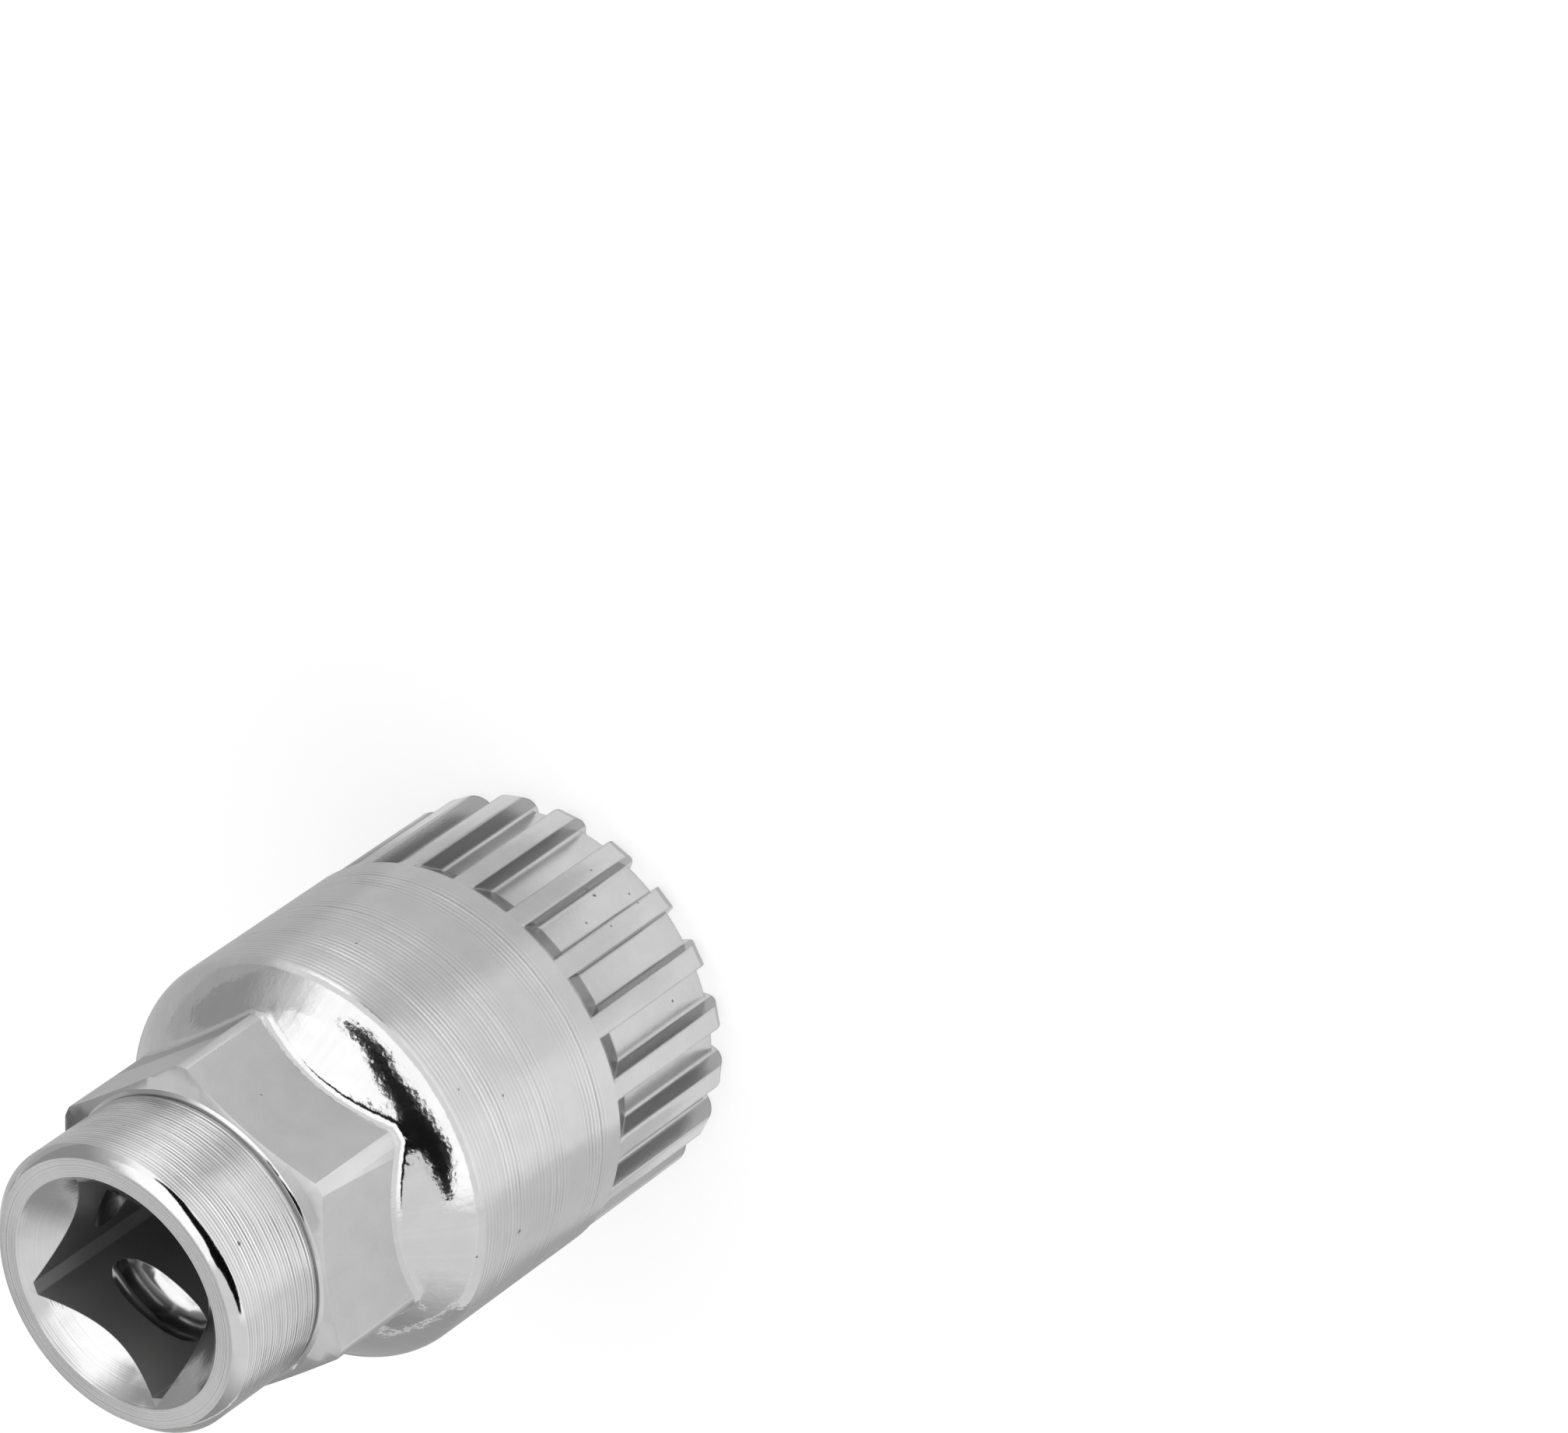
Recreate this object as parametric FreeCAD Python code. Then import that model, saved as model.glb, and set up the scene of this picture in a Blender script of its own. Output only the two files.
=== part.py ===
import FreeCAD, Part
import math
import os

# Socket tool that turns the splined cup of a cartridge bottom bracket. It is turned, milled and
# broached from one bar of steel. Lengths are millimetres, and heights go up from the end face of
# the spline. +Z runs to the drive end, and +X runs through a tooth and a corner of the hexagon.

# Spline that enters the cup
tooth_count = 20
tooth_tip_d = 31.7
tooth_root_d = 28.7
tooth_top_width = 1.62
tooth_flank_angle = 15.0
tooth_edge_break = 0.12
tooth_end_round = 2.2
tooth_end_height = 2.1
root_fillet = 0.25
root_end_chamfer = 0.65
ramp_angle = 31.5
spline_length = 13.76

# Round body and the shoulder that closes it down to the hexagon
body_d = 32.0
body_length = 16.24
body_run_in = 0.9
body_edge_round = 2.0
crease_d = 29.0
outer_shoulder_angle = 40.6
inner_shoulder_angle = 45.6

# Hexagon for a spanner, with its corners turned off
hex_across_flats = 23.8
hex_corner_d = 26.9
hex_length = 8.1
hex_front_angle = 21.8
hex_run_out_round = 1.2

# Nose that carries the drive hole
nose_d = 22.8
nose_length = 8.8
nose_chamfer_width = 0.76
nose_chamfer_length = 0.84
relief_width = 0.3
relief_depth = 0.15

# Square drive hole, with a countersunk mouth and a ring groove for the drive's spring ball
drive_square = 12.7
drive_corner_flat = 0.93
countersink_d = 18.34
countersink_angle = 50.0
detent_d = 15.4
detent_round = 2.4
detent_depth = 7.75
detent_steps = 10

# Bore that clears the bracket's spindle, drilled from the spline end
bore_d = 20.0
bore_length = 25.0
bore_point_angle = 60.0
bore_mouth_chamfer = 0.8

# How far the cutters reach past the metal
overshoot = 2.0


def tangent(angle):
    return math.tan(math.radians(angle))


tip_r = tooth_tip_d / 2
root_r = tooth_root_d / 2
body_r = body_d / 2
crease_r = crease_d / 2
flat_r = hex_across_flats / 2
corner_r = hex_corner_d / 2
nose_r = nose_d / 2
pitch_angle = 360.0 / tooth_count

shoulder_bottom = spline_length + body_length
crease_height = shoulder_bottom + (body_r - crease_r) / tangent(outer_shoulder_angle)
shoulder_top = crease_height + (crease_r - flat_r) / tangent(inner_shoulder_angle)
corner_foot = crease_height + (crease_r - corner_r) / tangent(inner_shoulder_angle)
nose_bottom = shoulder_top + hex_length
total_length = nose_bottom + nose_length
hex_corner_top = nose_bottom - (corner_r - nose_r) * tangent(hex_front_angle)


def point(r, z):
    return FreeCAD.Vector(r, 0, z)


def outline(corners):
    """A closed outline in the XZ plane. Each corner is (r, z) or (r, z, rounding radius)."""
    edges = []
    starts = []
    ends = []
    count = len(corners)
    for i in range(count):
        here = point(corners[i][0], corners[i][1])
        back = point(corners[i - 1][0], corners[i - 1][1]) - here
        ahead = point(corners[(i + 1) % count][0], corners[(i + 1) % count][1]) - here
        back.normalize()
        ahead.normalize()
        radius = corners[i][2] if len(corners[i]) > 2 else 0.0
        half = back.getAngle(ahead) / 2
        setback = radius / math.tan(half)
        starts.append(here + back * setback)
        ends.append(here + ahead * setback)
        if radius > 0:
            inward = back + ahead
            inward.normalize()
            middle = here + inward * (radius / math.sin(half) - radius)
            edges.append(Part.Arc(starts[i], middle, ends[i]).toShape())
    for i in range(count):
        edges.append(Part.LineSegment(ends[i - 1], starts[i]).toShape())
    return Part.Wire(Part.__sortEdges__(edges))


def turned(corners):
    """A solid of revolution. Its seam starts in the middle of a spline valley."""
    face = Part.Face(outline(corners))
    face.rotate(FreeCAD.Vector(), FreeCAD.Vector(0, 0, 1), pitch_angle / 2)
    return face.revolve(FreeCAD.Vector(), FreeCAD.Vector(0, 0, 1), 360)


def prism(points, bottom, top):
    """A straight prism along Z over a polygon of (x, y) points."""
    wire = Part.makePolygon([FreeCAD.Vector(x, y, bottom) for x, y in points + points[:1]])
    return Part.Face(wire).extrude(FreeCAD.Vector(0, 0, top - bottom))


def body():
    """The spline's blank, the round body and the two cones of the shoulder."""
    inside_r = flat_r - overshoot
    return turned([
        (0, 0),
        (tip_r, 0),
        (tip_r, spline_length - body_run_in),
        (body_r, spline_length),
        (body_r, shoulder_bottom, body_edge_round),
        (crease_r, crease_height),
        (inside_r, crease_height + (crease_r - inside_r) / tangent(inner_shoulder_angle)),
        (0, shoulder_top + overshoot),
    ])


def hexagon():
    """The hexagon's prism inside a turned envelope that takes its corners off and slopes its front."""
    corners = [math.radians(60 * i) for i in range(6)]
    reach = flat_r / math.cos(math.radians(30))
    flats = prism([(reach * math.cos(a), reach * math.sin(a)) for a in corners], crease_height, nose_bottom)
    envelope = turned([
        (0, crease_height),
        (corner_r, crease_height),
        (corner_r, hex_corner_top),
        (nose_r - relief_depth, nose_bottom + relief_depth * tangent(hex_front_angle)),
        (0, nose_bottom),
    ])
    return flats.common(envelope)


def nose():
    """The round nose, with a narrow relief groove where it meets the hexagon."""
    return turned([
        (0, shoulder_top),
        (nose_r - relief_depth, shoulder_top),
        (nose_r - relief_depth, nose_bottom + relief_width),
        (nose_r, nose_bottom + relief_width + relief_depth),
        (nose_r, total_length - nose_chamfer_length),
        (nose_r - nose_chamfer_width, total_length),
        (0, total_length),
    ])


def round_the_run_out(shape):
    """The hollow rounding where the flats and corners of the hexagon run out on the shoulder."""
    slack = 0.05
    edges = []
    for edge in shape.Edges:
        box = edge.BoundBox
        if box.ZMin > corner_foot - slack and box.ZMax < shoulder_top + slack:
            edges.append(edge)
    return shape.makeFillet(hex_run_out_round, edges)


def valley():
    """The cutter for one valley of the spline, lying on +X."""
    reach_r = body_r + overshoot
    ramp_bottom = spline_length - (body_r - root_r) / tangent(ramp_angle)
    ring = turned([
        (root_r - root_end_chamfer - overshoot, -overshoot),
        (root_r, root_end_chamfer),
        (root_r, ramp_bottom),
        (reach_r, spline_length + overshoot / tangent(ramp_angle)),
        (reach_r, -overshoot),
    ])
    tooth_half_angle = math.degrees(math.asin(tooth_top_width / tooth_tip_d))
    half_width = tip_r * math.sin(math.radians(pitch_angle / 2 - tooth_half_angle))
    foot_r = root_r - root_end_chamfer - overshoot
    foot_width = half_width - (tip_r - foot_r) * tangent(tooth_flank_angle)
    break_r = tip_r - tooth_edge_break
    break_width = half_width - tooth_edge_break * tangent(tooth_flank_angle)
    flare_width = break_width + reach_r - break_r
    side = [(foot_r, foot_width), (break_r, break_width), (reach_r, flare_width)]
    wedge = prism(side + [(x, -y) for x, y in reversed(side)], -overshoot, spline_length + 2 * overshoot)
    cutter = ring.common(wedge)
    long_edges = [edge for edge in cutter.Edges if lies_on_root(edge)]
    return cutter.makeFillet(root_fillet, long_edges)


def lies_on_root(edge):
    """True for the two long edges where a valley's floor meets its flanks."""
    slack = 0.01
    ends = [edge.Vertexes[0].Point, edge.Vertexes[-1].Point]
    on_root = all(abs(math.hypot(end.x, end.y) - root_r) < slack for end in ends)
    return on_root and abs(ends[0].z - ends[1].z) > slack


def tooth_end():
    """The cutter that rounds the end of the tooth on +X. It reaches half a pitch to each side."""
    centre_r = tip_r - tooth_end_round
    width = 2 * centre_r * math.sin(math.radians(pitch_angle / 2))
    depth = tooth_end_round + overshoot
    corner = FreeCAD.Vector(centre_r, -width / 2, -overshoot)
    block = Part.makeBox(depth, width, tooth_end_height + overshoot, corner)
    centre = FreeCAD.Vector(centre_r, -width / 2, tooth_end_height)
    return block.cut(Part.makeCylinder(tooth_end_round, width, centre, FreeCAD.Vector(0, 1, 0)))


def around(cutter, first):
    """Copies of a cutter at every pitch of the spline, the first one turned by this share of a pitch."""
    copies = []
    for i in range(tooth_count):
        copy = cutter.copy()
        copy.rotate(FreeCAD.Vector(), FreeCAD.Vector(0, 0, 1), pitch_angle * (i + first))
        copies.append(copy)
    return copies


def drive_hole():
    """The square hole with flattened corners, its countersink and the ring groove."""
    half = drive_square / 2
    cut = drive_corner_flat / math.sqrt(2)
    points = []
    for i in range(4):
        turn = math.radians(90 * i)
        for x, y in ((half, half - cut), (half - cut, half)):
            points.append((x * math.cos(turn) - y * math.sin(turn), x * math.sin(turn) + y * math.cos(turn)))
    square = prism(points, bore_length - overshoot, total_length + overshoot)
    mouth_r = countersink_d / 2
    mouth = turned([
        (0, total_length - mouth_r / tangent(countersink_angle)),
        (mouth_r + overshoot * tangent(countersink_angle), total_length + overshoot),
        (0, total_length + overshoot),
    ])
    return [square, mouth, detent_groove()]


def detent_groove():
    """The ring groove. Its hollow section is turned in narrow steps."""
    centre_r = detent_d / 2 - detent_round
    centre_z = total_length - detent_depth
    turns = [math.radians(180 * i / detent_steps - 90) for i in range(detent_steps + 1)]
    rim = [(centre_r + detent_round * math.cos(a), centre_z + detent_round * math.sin(a)) for a in turns]
    return turned([(0, centre_z - detent_round)] + rim + [(0, centre_z + detent_round)])


def spindle_bore():
    """The blind round bore from the spline end, with a drilled point and a broken mouth."""
    bore_r = bore_d / 2
    mouth_r = bore_r + bore_mouth_chamfer
    return turned([
        (0, -overshoot),
        (mouth_r + overshoot, -overshoot),
        (bore_r, bore_mouth_chamfer),
        (bore_r, bore_length),
        (0, bore_length + bore_r / tangent(bore_point_angle)),
    ])


def tool():
    blank = body().fuse([hexagon(), nose()]).removeSplitter()
    blank = round_the_run_out(blank)
    spline = around(tooth_end(), 0) + around(valley(), 0.5)
    return blank.cut(spline + drive_hole() + [spindle_bore()])


os.makedirs("parts", exist_ok=True)
shape = tool()
shape.exportStep("parts/bottom_bracket_tool.step")
box = shape.optimalBoundingBox()
print("bottom_bracket_tool", "valid", shape.isValid(), "solids", len(shape.Solids), "faces", len(shape.Faces))
print("volume", round(shape.Volume, 1), "size", round(box.XLength, 2), round(box.YLength, 2), round(box.ZLength, 2))
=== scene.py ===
import bpy
import math
from mathutils import Euler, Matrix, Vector


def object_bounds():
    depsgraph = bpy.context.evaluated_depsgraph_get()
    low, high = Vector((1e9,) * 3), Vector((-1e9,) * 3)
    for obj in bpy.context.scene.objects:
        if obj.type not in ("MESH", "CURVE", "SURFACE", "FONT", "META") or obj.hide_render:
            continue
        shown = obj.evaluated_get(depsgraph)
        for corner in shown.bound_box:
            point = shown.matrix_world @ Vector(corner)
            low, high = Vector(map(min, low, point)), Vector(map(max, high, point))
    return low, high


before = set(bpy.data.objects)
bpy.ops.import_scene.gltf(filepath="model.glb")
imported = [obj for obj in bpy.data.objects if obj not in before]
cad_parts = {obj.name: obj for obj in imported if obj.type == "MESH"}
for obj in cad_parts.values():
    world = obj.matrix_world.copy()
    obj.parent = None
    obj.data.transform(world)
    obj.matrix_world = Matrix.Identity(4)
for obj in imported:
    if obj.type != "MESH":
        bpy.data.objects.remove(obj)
cad_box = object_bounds()

# The tool stands on its spline. +Z is its axis and runs to the drive end. Angles are degrees.
TOOL = "bottom_bracket_tool"
MM = 0.001

# Heights on the tool, in millimetres above the floor
TOP = cad_box[1][2] / MM
RAMP_BOTTOM = 10.8
SPLINE_TOP = 13.76
BODY_EDGE = 29.3
CREASE = 31.75
SHOULDER_TOP = 34.3
# The top of the painted shade on one flat's foot
FLAT_SHADE_TOP = 36.6
HEX_TOP = 42.4
BORE_END = 31.0
GROOVE_LOW = 40.5
GROOVE_HIGH = 46.2
CHAMFER_LENGTH = 0.84
CHAMFER_HALF = 0.42

# Radii on the tool, in millimetres. INNER_R lies between the bore's wall and the valleys' floors.
INNER_R = 11.35
TOOTH_ROOT_R = 14.35
TOOTH_TIP_R = 15.85
CREASE_R = 14.5
HEX_CORNER_R = 13.45
FLAT_R = 11.9
NOSE_R = 11.4
RELIEF_R = 11.25
NOSE_FOOT_R = 11.65
FACE_R = 10.64
MOUTH_R = 9.17

# The square hole: half its width, and a sum of x and y that only its flattened corners reach
SQUARE_HALF = 6.35
CORNER_SUM = 11.98

# Camera, for a picture of 2016 by 1842
CAMERA_PLACE = (-0.1792628, -0.4843310, 0.4587078)
CAMERA_TURN = (-30.75630564, 36.55277998, -156.03018159)
CAMERA_LENS = 214.30
SENSOR_WIDTH = 36.0
CLIP_START = 0.01

# Tone of the plating. The greys below are painted shade: the teeth's flanks, the square hole's walls and
# the deep bore are darkened, while the hole's flattened corners keep about the plating's grey.
PLATE_GREY = 0.62
PLATE_GREY_CHANGE = 0.015
PAINTED_SHADE_GREYS = [("flanks", 0.40), ("wall", 0.44), ("wall_corner", 0.65), ("bore", 0.10)]

# Regions that keep only this share of their tone. The shares of the relief groove, the foot of one flat
# and the valleys' ramps are painted shade.
TONE_SHARES = [("flats", 0.91), ("relief", 0.45), ("flat_painted_shade", 0.66), ("ramps", 0.72), ("spline", 0.96)]

# The angle of the flat whose foot, down to the shoulder, is darkened by a painted shade
SHADED_FLAT = -30.0

# Roughness of the plating, and of the regions. A later region lies over an earlier one.
ROUGHNESS = 0.24
ROUGHNESSES = [
    ("body", 0.27),
    ("nose", 0.17),
    ("flats", 0.34),
    ("corners", 0.26),
    ("shoulder", 0.08),
    ("chamfer", 0.06),
    ("nose_foot", 0.07),
    ("face", 0.22),
    ("mouth", 0.12),
    ("groove", 0.15),
    ("wall", 0.34),
    ("bore", 0.45),
]
ANISOTROPY = 0.6
TURNED_ROTATION = 0.25

# Turning lines: the feeds of the lathe, the lines' heights in millimetres, and their shares of the tone
NOSE_FEED = 0.28
BODY_FEED = 0.38
LINE_WANDER = 0.10
NOSE_LINE_HEIGHT = 0.030
BODY_LINE_HEIGHT = 0.050
RING_HEIGHT = 0.020
NOSE_LINE_SHARE = 0.85
BODY_LINE_SHARE = 0.62
RING_SHARE = 0.30

# Other marks on the metal, in millimetres and as shares of the tone
PEEL_HEIGHT = 0.007
PEEL_WAVE_HEIGHT = 0.012
SPOKE_HEIGHT = 0.012
SPOKE_SHARE = 0.10
WAVE_HEIGHT = 0.010
GRAIN_HEIGHT = 0.008
GRAIN_SHARE = 0.16
PIT_DEPTH = 0.06
PIT_SHARE = 0.6

# Small pits, as (angle, radius, height, size). Angles are degrees, and the rest is millimetres.
PITS = [
    (-120.9, 11.4, 48.48, 0.20),
    (-164.4, 16.0, 25.40, 0.24),
    (-55.4, 11.4, 47.13, 0.10),
    (-82.8, 12.0, 38.68, 0.10),
    (-126.0, 16.0, 24.49, 0.12),
    (-69.0, 16.0, 24.63, 0.12),
    (-118.0, 16.0, 27.94, 0.10),
    (-163.4, 15.8, 30.12, 0.12),
    (-95.5, 14.35, 4.99, 0.14),
    (-101.1, 14.35, 2.37, 0.10),
    (-100.9, 14.35, 7.42, 0.10),
    (-134.6, 14.35, 3.96, 0.12),
    (-90.8, 15.85, 4.79, 0.12),
    (-106.2, 15.85, 7.10, 0.12),
    (-105.2, 15.85, 3.66, 0.10),
]

# Roundings that the finish adds, in millimetres. The slopes are millimetres per millimetre.
CROWN_HEIGHT = 0.018
TOOTH_ROUND = 0.30
EDGE_SAG = 0.034
EDGE_SLOPE = 0.135
CREASE_SLOPE = 0.064
FOOT_RISE = 0.17
FOOT_CURVE = 0.05

# Edges of the mesh: the plating's rounding, and the least angle that counts as an edge
EDGE_ROUND = 0.00012
EDGE_SEGMENTS = 2
EDGE_ANGLE = 28.0
WELD_DISTANCE = 0.000001

# Room and floor
SKY_LIGHT = 0.95
SKY_DARK = 0.40
DARK_SIDE = 55.0
FLOOR_COLOUR = 0.55
FLOOR_GLOW = 0.64
FLOOR_HALF = 3.0

# Cards round the tool that only the metal shows, as (name, strength, distance in metres, fade in
# degrees at both ends, stations). A station is an angle and the card's lower and upper elevation.
CARD_MIDDLE = 0.7 * TOP * MM
FAR = 0.60
NEAR = 0.55
CARDS = [
    ("window", 1.55, FAR, 18.0, [(-182.0, 0.0, 30.0), (-128.0, 0.0, 33.0), (-34.0, 0.0, 34.0)]),
    ("soft_box", 1.6, FAR, 26.0, [
        (-150.0, 53.0, 68.0),
        (-134.0, 50.0, 68.0),
        (-126.0, 48.0, 68.0),
        (-119.0, 36.0, 68.0),
        (-20.0, 29.0, 68.0),
    ]),
    ("soft_box_end", 1.5, NEAR, 4.0, [(-136.0, 50.0, 68.0), (-128.0, 50.0, 68.0), (-110.0, 48.0, 68.0)]),
    ("black_card", 0.0, NEAR, 4.0, [
        (-174.0, 26.0, 29.0),
        (-160.0, 24.5, 36.0),
        (-146.0, 23.5, 42.0),
        (-137.0, 25.5, 49.0),
        (-128.0, 27.5, 50.0),
        (-121.0, 29.0, 46.5),
        (-112.0, 29.5, 45.0),
        (-98.0, 30.0, 44.0),
        (-86.0, 26.0, 38.5),
        (-72.0, 25.5, 32.0),
        (-60.0, 27.0, 28.5),
    ]),
    ("top_box", 0.86, FAR, 10.0, [(0.0, 40.0, 88.0), (40.0, 33.0, 88.0), (135.0, 33.0, 88.0)]),
    ("top_window", 1.5, NEAR, 10.0, [(15.0, 80.0, 88.0), (100.0, 80.0, 88.0)]),
    ("top_flag", 0.1, NEAR, 6.0, [(104.0, 76.0, 84.0), (132.0, 72.0, 79.0)]),
    ("horizon", 0.52, FAR, 10.0, [(-30.0, -4.0, 7.0), (40.0, -4.0, 7.0)]),
    ("left_flag", 0.12, NEAR, 6.0, [(38.0, -20.0, 26.0), (80.0, -20.0, 26.0)]),
]

# Papers on the floor that only the metal shows, as (name, strength, fade, stations). A station is an
# angle and two distances in millimetres. Each paper lies over the ones before it.
PAPER_THICKNESS = 0.0001
PAPERS = [
    ("dark_paper_right", 0.45, 20.0, [(60.0, 20.0, 900.0), (156.0, 20.0, 900.0)]),
    ("grey_paper_right", 0.92, 2.0, [(132.0, 52.0, 900.0), (186.0, 52.0, 400.0)]),
    ("near_paper_right", 0.72, 2.0, [(138.0, 20.0, 52.0), (186.0, 20.0, 52.0)]),
    ("grey_paper_left", 0.60, 20.0, [(-34.0, 20.0, 900.0), (70.0, 20.0, 900.0)]),
    ("near_paper_left", 0.68, 20.0, [(-106.0, 20.0, 57.0), (-12.0, 20.0, 57.0)]),
    ("near_paper_middle", 0.86, 20.0, [(-144.0, 20.0, 57.0), (-86.0, 20.0, 57.0)]),
    ("nose_paper_left", 1.60, 10.0, [(-66.0, 57.0, 90.0), (-34.0, 57.0, 90.0)]),
    ("nose_paper_middle", 0.50, 10.0, [(-88.0, 57.0, 90.0), (-62.0, 57.0, 90.0)]),
    ("nose_paper_right", 1.25, 10.0, [(-172.0, 57.0, 90.0), (-86.0, 57.0, 90.0)]),
]


class Nodes:
    """Short ways to write a shader. A value is a number, a colour or another node's output."""

    def __init__(self, tree):
        self.tree = tree
        self.tree.nodes.clear()

    def put(self, socket, value):
        """Links a node's output to the socket, or sets the socket to the value. None leaves it."""
        if isinstance(value, bpy.types.NodeSocket):
            self.tree.links.new(value, socket)
        elif value is not None:
            socket.default_value = value

    def node(self, kind, inputs=None, settings=None, output=0):
        """Adds a node and returns one of its outputs."""
        node = self.tree.nodes.new(kind)
        for name, value in (settings or {}).items():
            setattr(node, name, value)
        for name, value in (inputs or {}).items():
            self.put(node.inputs[name], value)
        return node.outputs[output]

    def math(self, operation, a, b=None, c=None):
        return self.node("ShaderNodeMath", {0: a, 1: b, 2: c}, {"operation": operation})

    def add(self, *values):
        total = values[0]
        for value in values[1:]:
            total = self.math("ADD", total, value)
        return total

    def sub(self, a, b):
        return self.math("SUBTRACT", a, b)

    def mul(self, *values):
        total = values[0]
        for value in values[1:]:
            total = self.math("MULTIPLY", total, value)
        return total

    def inverse(self, a):
        return self.math("SUBTRACT", 1.0, a)

    def ramp(self, value, low, high, start=0.0, end=1.0):
        """Goes smoothly from start to end as the value goes from low to high."""
        inputs = {"Value": value, "From Min": low, "From Max": high, "To Min": start, "To Max": end}
        return self.node("ShaderNodeMapRange", inputs, {"interpolation_type": "SMOOTHSTEP"})

    def straight_ramp(self, value, low, high, start=0.0, end=1.0):
        """Goes in a straight line from start to end as the value goes from low to high."""
        inputs = {"Value": value, "From Min": low, "From Max": high, "To Min": start, "To Max": end}
        return self.node("ShaderNodeMapRange", inputs)

    def above(self, value, edge, soft=0.05):
        """1 above the edge and 0 below it, with a border of this half width."""
        return self.ramp(value, edge - soft, edge + soft)

    def below(self, value, edge, soft=0.05):
        return self.ramp(value, edge - soft, edge + soft, 1.0, 0.0)

    def band(self, value, low, high, soft=0.05):
        """1 between low and high, 0 outside them."""
        return self.mul(self.above(value, low, soft), self.below(value, high, soft))

    def blend(self, share, a, b):
        """A number that goes from a to b with the share."""
        return self.node("ShaderNodeMix", {0: share, 2: a, 3: b}, {"data_type": "FLOAT"})

    def noise(self, place, scale, detail=2.0):
        return self.node("ShaderNodeTexNoise", {"Vector": place, "Scale": scale, "Detail": detail})

    def line_noise(self, value, scale, detail=2.0):
        """Noise that changes along one measure only."""
        inputs = {"W": value, "Scale": scale, "Detail": detail}
        return self.node("ShaderNodeTexNoise", inputs, {"noise_dimensions": "1D"})

    def centred(self, noise):
        """Noise from -0.5 to 0.5."""
        return self.sub(noise, 0.5)

    def vector(self, operation, a, b=None, output="Vector"):
        return self.node("ShaderNodeVectorMath", {0: a, 1: b}, {"operation": operation}, output)

    def parts(self, vector):
        """The X, Y and Z of a vector."""
        split = self.tree.nodes.new("ShaderNodeSeparateXYZ")
        self.put(split.inputs[0], vector)
        return list(split.outputs)

    def bump(self, height, edge_round):
        """A normal for heights and for the rounding of edges, both in millimetres."""
        soft = self.node("ShaderNodeBevel", {"Radius": self.mul(edge_round, MM)}, {"samples": 4})
        inputs = {"Height": height, "Distance": MM, "Strength": 1.0, "Normal": soft}
        return self.node("ShaderNodeBump", inputs)

    def emit(self, strength):
        return self.node("ShaderNodeEmission", {"Color": grey(1.0), "Strength": strength})

    def finish(self, kind, shader):
        out = self.tree.nodes.new(kind)
        self.put(out.inputs["Surface"], shader)


def grey(value):
    return (value, value, value, 1.0)


def new_material(name):
    material = bpy.data.materials.new(name)
    material.use_nodes = True
    return material, Nodes(material.node_tree)


def heading(angle):
    """The level direction at an angle in degrees."""
    turn = math.radians(angle)
    return (math.cos(turn), math.sin(turn), 0.0)


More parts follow.
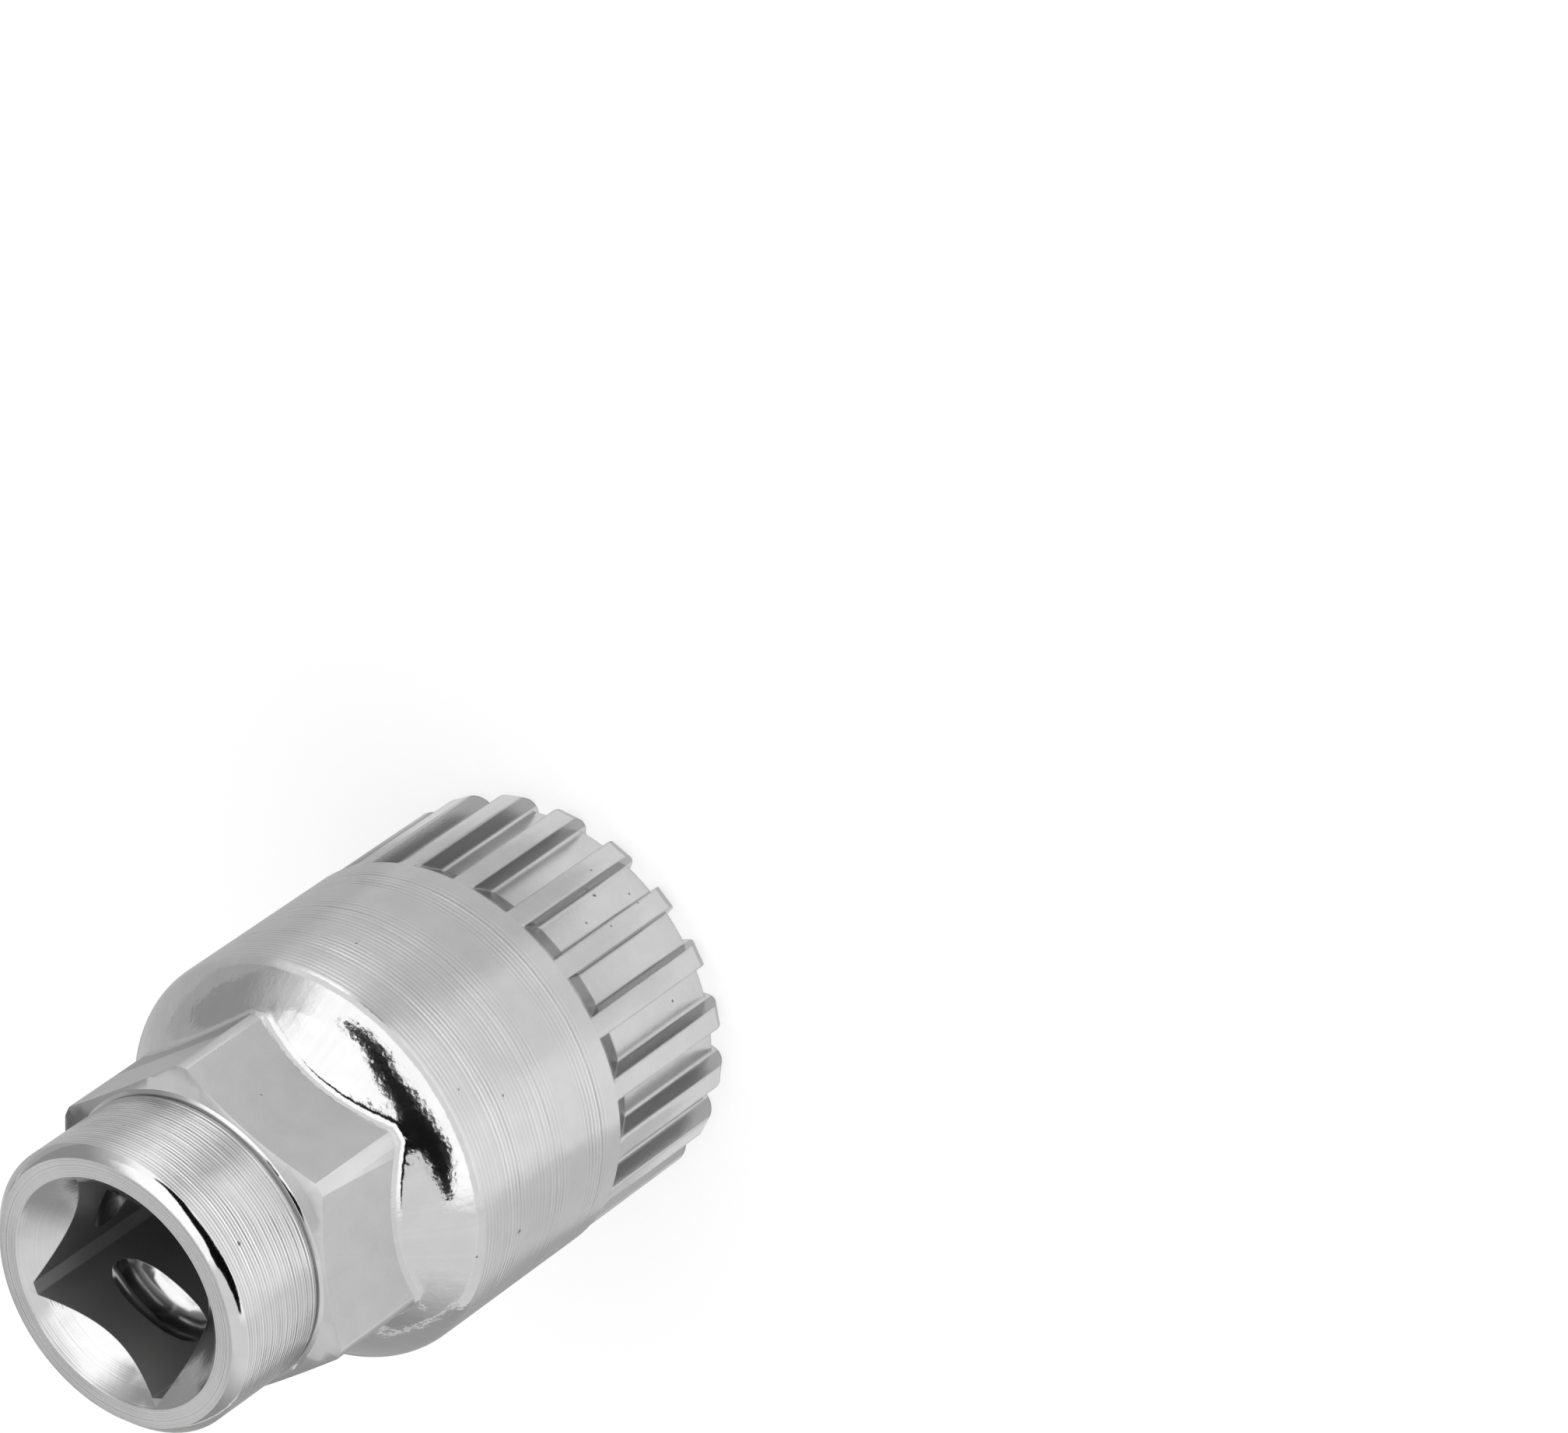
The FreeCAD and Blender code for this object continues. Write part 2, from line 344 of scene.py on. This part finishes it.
class Places:
    """Where a point of the tool lies, in millimetres, and the tool's regions as masks from 0 to 1."""

    def __init__(self, n):
        self.measure(n)
        self.find_hole(n)
        self.find_nose(n)
        self.find_hexagon(n)
        self.find_flat_shade(n)
        self.find_body(n)

    def measure(self, n):
        self.at = n.vector("MULTIPLY", n.node("ShaderNodeTexCoord", output="Object"), (1.0 / MM,) * 3)
        x, y, self.z = n.parts(self.at)
        level_place = n.vector("MULTIPLY", self.at, (1.0, 1.0, 0.0))
        self.r = n.vector("LENGTH", level_place, output="Value")
        self.spoke = n.vector("NORMALIZE", level_place)
        self.rise = n.parts(n.node("ShaderNodeTexCoord", output="Normal"))[2]
        self.x_size = n.math("ABSOLUTE", x)
        self.y_size = n.math("ABSOLUTE", y)

    def find_hole(self, n):
        side = n.math("MAXIMUM", self.x_size, self.y_size)
        sides_sum = n.add(self.x_size, self.y_size)
        within = n.below(self.r, MOUTH_R - 0.03, 0.02)
        deep = n.below(self.z, BORE_END, 0.3)
        # The bore and the square hole's walls also get darker greys that are painted shade.
        self.bore = n.mul(n.below(self.r, INNER_R, 0.1), deep)
        self.wall = n.mul(n.below(side, SQUARE_HALF + 0.03, 0.02), n.inverse(deep))
        self.wall_corner = n.mul(self.wall, n.above(sides_sum, CORNER_SUM, 0.04))
        ring = n.mul(within, n.inverse(self.wall))
        self.groove = n.mul(ring, n.band(self.z, GROOVE_LOW, GROOVE_HIGH))
        self.mouth = n.mul(ring, n.above(self.z, GROOVE_HIGH), n.inverse(self.groove))
        self.outside = n.inverse(n.mul(within, n.above(self.z, BORE_END)))

    def find_nose(self, n):
        chamfer_height = n.band(self.z, TOP - CHAMFER_LENGTH, TOP - 0.02, 0.02)
        relief_height = n.band(self.z, HEX_TOP - 0.1, HEX_TOP + 0.4, 0.02)
        foot_height = n.band(self.z, HEX_TOP - 0.6, HEX_TOP + 0.2, 0.02)
        front = n.mul(foot_height, n.above(self.rise, 0.6, 0.2), n.above(self.r, RELIEF_R - 0.35, 0.1))
        self.nose = n.mul(self.outside, n.above(self.z, HEX_TOP), n.inverse(self.bore))
        self.face = n.mul(self.outside, n.above(self.z, TOP - 0.02, 0.01))
        self.chamfer = n.mul(chamfer_height, n.above(self.r, FACE_R, 0.02))
        self.nose_wall = n.mul(self.nose, n.inverse(self.chamfer), n.inverse(self.face))
        # The relief groove is darkened by a painted shade.
        self.relief = n.mul(relief_height, n.below(self.r, NOSE_R - 0.06, 0.03), self.outside)
        self.hexagon_front = front
        self.nose_foot = n.mul(front, n.below(self.r, NOSE_FOOT_R + 0.05, 0.05))

    def find_hexagon(self, n):
        upright = n.below(n.math("ABSOLUTE", self.rise), 0.08, 0.04)
        sides = n.mul(self.outside, n.band(self.z, CREASE + 0.6, HEX_TOP), upright)
        self.flats = n.mul(sides, n.below(self.r, HEX_CORNER_R - 0.05, 0.03))
        self.corners = n.mul(sides, n.above(self.r, HEX_CORNER_R - 0.05, 0.03))

    def find_flat_shade(self, n):
        """The foot of one flat, down to the shoulder, as a mask for the painted shade there."""
        reach = n.vector("DOT_PRODUCT", self.at, heading(SHADED_FLAT), "Value")
        foot = n.mul(n.above(reach, FLAT_R - 0.04, 0.03), n.band(self.z, BODY_EDGE, FLAT_SHADE_TOP, 0.15))
        beside_corners = n.below(self.r, HEX_CORNER_R - 0.03, 0.02)
        self.flat_painted_shade = n.mul(foot, beside_corners, n.below(self.rise, 0.35, 0.2))

    def find_body(self, n):
        shoulder_height = n.band(self.z, BODY_EDGE, SHOULDER_TOP + 0.5, 0.2)
        flank_r = n.band(self.r, TOOTH_ROOT_R + 0.15, TOOTH_TIP_R - 0.12)
        self.shoulder = n.mul(shoulder_height, n.above(self.rise, 0.12, 0.06), n.above(self.r, FLAT_R))
        self.body = n.band(self.z, SPLINE_TOP, BODY_EDGE + 0.3)
        self.spline = n.mul(n.below(self.z, SPLINE_TOP), n.inverse(self.bore))
        # The flanks also get a darker grey that is painted shade.
        self.flanks = n.mul(self.spline, flank_r)
        # The valleys' down-facing ramps get a painted shade.
        self.ramps = n.mul(self.spline, n.below(self.rise, -0.35, 0.08), n.above(self.z, RAMP_BOTTOM))


class Marks:
    """What the making left on the metal, as numbers without a unit that lie between about -1 and 1."""

    def __init__(self, n, p):
        self.turning(n, p)
        milled = n.add(p.flats, p.corners, n.mul(p.spline, 0.8))
        self.waves = n.centred(n.noise(p.at, 0.9, 2.0))
        self.peel = n.centred(n.noise(p.at, 3.2, 2.0))
        self.spokes = n.centred(n.noise(n.vector("MULTIPLY", p.spoke, (14.0,) * 3), 1.6, 2.0))
        self.grain = n.mul(n.centred(n.noise(p.at, 9.0, 3.0)), milled)
        self.pits = pits(n, p)

    def turning(self, n, p):
        """Fine circles that the lathe left on the nose, the body, the face and the mouth."""
        along = n.add(n.sub(p.z, p.r), n.mul(n.noise(p.at, 0.35, 1.0), LINE_WANDER))
        fine = n.centred(n.line_noise(along, 5.0, 3.0))
        coarse = n.centred(n.line_noise(along, 2.4, 2.0))
        patches = n.ramp(n.noise(p.at, 0.22, 2.0), 0.35, 0.60, 0.4, 1.0)
        nose_feed = n.math("SINE", n.mul(along, 2 * math.pi / NOSE_FEED))
        body_feed = n.math("SINE", n.mul(along, 2 * math.pi / BODY_FEED))
        nose = n.add(n.mul(nose_feed, 0.34), n.mul(fine, 1.2))
        body = n.add(n.mul(coarse, 0.55), n.mul(fine, 0.45), n.mul(body_feed, 0.24))
        self.nose_lines = n.mul(nose, patches, p.nose_wall)
        self.body_lines = n.mul(body, body_line_groups(n, p), patches, p.body)
        self.rings = n.mul(n.centred(n.line_noise(p.r, 9.0, 3.0)), n.add(p.face, n.mul(p.mouth, 0.4)))


def body_line_groups(n, p):
    """The body's lines are strong by the spline, fainter in one band, and uneven up to its edge."""
    uneven = n.ramp(n.line_noise(p.z, 0.6), 0.40, 0.62, 0.3, 1.0)
    by_the_spline = n.band(p.z, 15.4, 17.6, 0.5)
    middle = n.mul(n.band(p.z, 20.0, 22.0, 0.5), 0.8)
    upper = n.mul(n.band(p.z, 22.5, 29.5, 1.0), uneven)
    return n.add(by_the_spline, middle, upper)


def pits(n, p):
    """1 in the small pits, 0 elsewhere."""
    total = 0.0
    for angle, r, z, size in PITS:
        turn = math.radians(angle)
        middle = (r * math.cos(turn), r * math.sin(turn), z)
        distance = n.vector("DISTANCE", p.at, middle, "Value")
        total = n.add(total, n.below(distance, size * 0.7, size * 0.4))
    return total


def shoulder_sag(n, p):
    """Bends the shoulder's cones into one soft curve. Its three parts meet without a change of slope."""
    edge = n.straight_ramp(p.r, CREASE_R + 1.0, CREASE_R + 1.5, 1.0, 0.0)
    outer = n.straight_ramp(p.r, CREASE_R, CREASE_R + 1.0, 1.0, 0.0)
    inner = n.straight_ramp(p.r, CREASE_R - 1.0, CREASE_R, 1.0, 0.0)
    outer_slope = n.sub(EDGE_SLOPE, n.mul(outer, (EDGE_SLOPE - CREASE_SLOPE) / 2))
    inner_slope = n.sub(CREASE_SLOPE, n.mul(inner, CREASE_SLOPE / 2))
    bend = n.add(n.mul(edge, edge, EDGE_SAG), n.mul(outer, outer_slope), n.mul(inner, inner_slope))
    return n.mul(bend, n.above(p.z, BODY_EDGE - 0.3))


def nose_foot(n, p):
    """Curves the hexagon's front up to the foot of the nose."""
    climb = n.straight_ramp(p.r, RELIEF_R, NOSE_FOOT_R, 1.0, 0.0)
    return n.mul(climb, n.add(n.mul(climb, FOOT_CURVE), FOOT_RISE), p.hexagon_front)


def chamfer_crown(n, p):
    """Makes the nose's chamfer round, highest along its middle."""
    off_middle = n.mul(n.sub(p.z, TOP - CHAMFER_HALF), 1.0 / CHAMFER_HALF)
    return n.mul(n.sub(1.0, n.mul(off_middle, off_middle)), p.chamfer, CROWN_HEIGHT)


def steel_height(n, p, marks):
    """All that stands up from or sinks into the mesh, in millimetres."""
    lines = n.add(
        n.mul(marks.nose_lines, NOSE_LINE_HEIGHT),
        n.mul(marks.body_lines, BODY_LINE_HEIGHT),
        n.mul(marks.rings, RING_HEIGHT),
    )
    orange_peel = n.add(
        n.mul(marks.peel, PEEL_HEIGHT),
        n.mul(marks.waves, PEEL_WAVE_HEIGHT),
        n.mul(marks.spokes, SPOKE_HEIGHT),
    )
    dents = n.add(
        n.mul(marks.grain, GRAIN_HEIGHT),
        n.mul(marks.waves, WAVE_HEIGHT),
        n.mul(marks.pits, -PIT_DEPTH),
    )
    roundings = n.add(shoulder_sag(n, p), chamfer_crown(n, p), nose_foot(n, p))
    return n.add(lines, n.mul(orange_peel, p.shoulder), dents, roundings)


def steel_roughness(n, p):
    rough = ROUGHNESS
    for region, value in ROUGHNESSES:
        rough = n.blend(getattr(p, region), rough, value)
    return rough


def steel_tone(n, p, marks):
    low, high = PLATE_GREY - PLATE_GREY_CHANGE, PLATE_GREY + PLATE_GREY_CHANGE
    tone = n.ramp(n.noise(p.at, 0.5, 3.0), 0.3, 0.7, low, high)
    # The flanks, the hole's walls and the bore get painted shade here.
    for region, value in PAINTED_SHADE_GREYS:
        tone = n.blend(getattr(p, region), tone, value)
    streaks = n.add(
        1.0,
        n.mul(marks.nose_lines, NOSE_LINE_SHARE),
        n.mul(marks.body_lines, BODY_LINE_SHARE),
        n.mul(marks.rings, RING_SHARE),
        n.mul(marks.spokes, p.shoulder, SPOKE_SHARE),
        n.mul(marks.grain, GRAIN_SHARE),
    )
    tone = n.mul(tone, streaks, n.sub(1.0, n.mul(marks.pits, PIT_SHARE)))
    # The relief groove, the foot of one flat and the valleys' ramps get painted shade here.
    for region, share in TONE_SHARES:
        tone = n.mul(tone, n.blend(getattr(p, region), 1.0, share))
    return tone


def plated_steel():
    """Bright plating over turned, milled and broached steel."""
    material, n = new_material("plated_steel_finish")
    p = Places(n)
    marks = Marks(n, p)
    shader = n.node("ShaderNodeBsdfPrincipled", {
        "Base Color": steel_tone(n, p, marks),
        "Metallic": 1.0,
        "Roughness": steel_roughness(n, p),
        "Normal": n.bump(steel_height(n, p, marks), n.mul(p.spline, TOOTH_ROUND)),
        "Anisotropic": ANISOTROPY,
        "Anisotropic Rotation": TURNED_ROTATION,
        "Tangent": n.node("ShaderNodeTangent", {}, {"direction_type": "RADIAL", "axis": "Z"}),
    })
    n.finish("ShaderNodeOutputMaterial", shader)
    return material


def dress_tool():
    """Gives the tool its finish and takes its sharp edges off, as plating does."""
    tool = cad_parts[TOOL]
    tool.material_slots[0].material = plated_steel()
    weld = tool.modifiers.new("weld", "WELD")
    weld.merge_threshold = WELD_DISTANCE
    soften = tool.modifiers.new("soften", "BEVEL")
    soften.width = EDGE_ROUND
    soften.segments = EDGE_SEGMENTS
    soften.limit_method = "ANGLE"
    soften.angle_limit = math.radians(EDGE_ANGLE)


def make_stage_piece(name, corners, faces, material):
    mesh = bpy.data.meshes.new(name)
    mesh.from_pydata(corners, [], faces)
    mesh.materials.append(material)
    piece = bpy.data.objects.new(name, mesh)
    bpy.context.scene.collection.objects.link(piece)
    return piece


def make_floor():
    """White to the camera and in the metal, with the tool's own soft shadow."""
    material, n = new_material("floor")
    path = n.tree.nodes.new("ShaderNodeLightPath")
    seen = n.math("MAXIMUM", path.outputs["Is Camera Ray"], path.outputs["Is Glossy Ray"])
    seen = n.math("MAXIMUM", seen, path.outputs["Is Transmission Ray"])
    paper = n.node("ShaderNodeBsdfDiffuse", {"Color": grey(FLOOR_COLOUR)})
    both = n.node("ShaderNodeAddShader", {0: paper, 1: n.emit(n.mul(seen, FLOOR_GLOW))})
    n.finish("ShaderNodeOutputMaterial", both)
    half = FLOOR_HALF
    corners = [(-half, -half, 0), (half, -half, 0), (half, half, 0), (-half, half, 0)]
    make_stage_piece("floor", corners, [(0, 1, 2, 3)], material)


def make_world():
    """A pale room with one darker side. The camera sees white."""
    world = bpy.data.worlds.new("studio")
    bpy.context.scene.world = world
    world.use_nodes = True
    n = Nodes(world.node_tree)
    place = n.node("ShaderNodeTexCoord", output="Generated")
    toward = n.vector("DOT_PRODUCT", place, heading(DARK_SIDE), "Value")
    room = n.ramp(toward, -0.15, 0.50, SKY_LIGHT, SKY_DARK)
    to_camera = n.node("ShaderNodeLightPath", output="Is Camera Ray")
    strength = n.blend(to_camera, room, 1.0)
    sky = n.node("ShaderNodeBackground", {"Color": grey(1.0), "Strength": strength})
    n.finish("ShaderNodeOutputWorld", sky)


def fading_light(name, strength, first, last, fade):
    """A plain light between two angles round the tool's axis, clear towards both of them."""
    material, n = new_material(name)
    place = n.node("ShaderNodeTexCoord", output="Object")
    middle = (first + last) / 2
    along = n.vector("DOT_PRODUCT", place, heading(middle), "Value")
    across = n.vector("DOT_PRODUCT", place, heading(middle + 90.0), "Value")
    off_middle = n.math("ABSOLUTE", n.math("ARCTAN2", across, along))
    half = math.radians(abs(last - first) / 2)
    share = n.ramp(off_middle, half - math.radians(fade), half, 1.0, 0.0)
    clear = n.node("ShaderNodeBsdfTransparent")
    mixed = n.node("ShaderNodeMixShader", {0: share, 1: clear, 2: n.emit(strength)})
    n.finish("ShaderNodeOutputMaterial", mixed)
    return material


def make_strip(name, rows, material):
    """A strip between two rows of points that only the metal shows."""
    count = len(rows)
    corners = [low for low, high in rows] + [high for low, high in rows]
    faces = [(i, i + 1, count + i + 1, count + i) for i in range(count - 1)]
    piece = make_stage_piece(name, corners, faces, material)
    piece.visible_camera = False
    piece.visible_diffuse = False
    piece.visible_shadow = False


def between(stations, steps=6):
    """The stations with even steps filled in between them."""
    filled = []
    for here, there in zip(stations, stations[1:]):
        for i in range(steps):
            filled.append([a + (b - a) * i / steps for a, b in zip(here, there)])
    return filled + [stations[-1]]


def make_card(name, strength, distance, fade, stations):
    """A curved card that stands round the tool."""
    middle = Vector((0.0, 0.0, CARD_MIDDLE))
    rows = []
    for angle, low, high in between(stations):
        level = Vector(heading(angle))
        lifts = [math.radians(low), math.radians(high)]
        aims = [math.cos(lift) * level + Vector((0, 0, math.sin(lift))) for lift in lifts]
        rows.append([middle + distance * aim for aim in aims])
    make_strip(name, rows, fading_light(name, strength, stations[0][0], stations[-1][0], fade))


def make_paper(name, strength, fade, stations, height):
    """A paper that lies on the floor round the tool."""
    rows = []
    for angle, near, far in between(stations):
        level = Vector(heading(angle))
        rows.append([distance * MM * level + Vector((0, 0, height)) for distance in (near, far)])
    make_strip(name, rows, fading_light(name, strength, stations[0][0], stations[-1][0], fade))


def make_camera():
    data = bpy.data.cameras.new("camera")
    data.sensor_width = SENSOR_WIDTH
    data.lens = CAMERA_LENS
    data.clip_start = CLIP_START
    camera = bpy.data.objects.new("camera", data)
    camera.location = CAMERA_PLACE
    camera.rotation_euler = Euler([math.radians(a) for a in CAMERA_TURN])
    bpy.context.scene.collection.objects.link(camera)
    bpy.context.scene.camera = camera


make_camera()
bpy.context.scene.view_settings.view_transform = "Standard"
make_world()
make_floor()
for name, strength, distance, fade, stations in CARDS:
    make_card(name, strength, distance, fade, stations)
for i, (name, strength, fade, stations) in enumerate(PAPERS):
    make_paper(name, strength, fade, stations, PAPER_THICKNESS * (i + 1))
dress_tool()
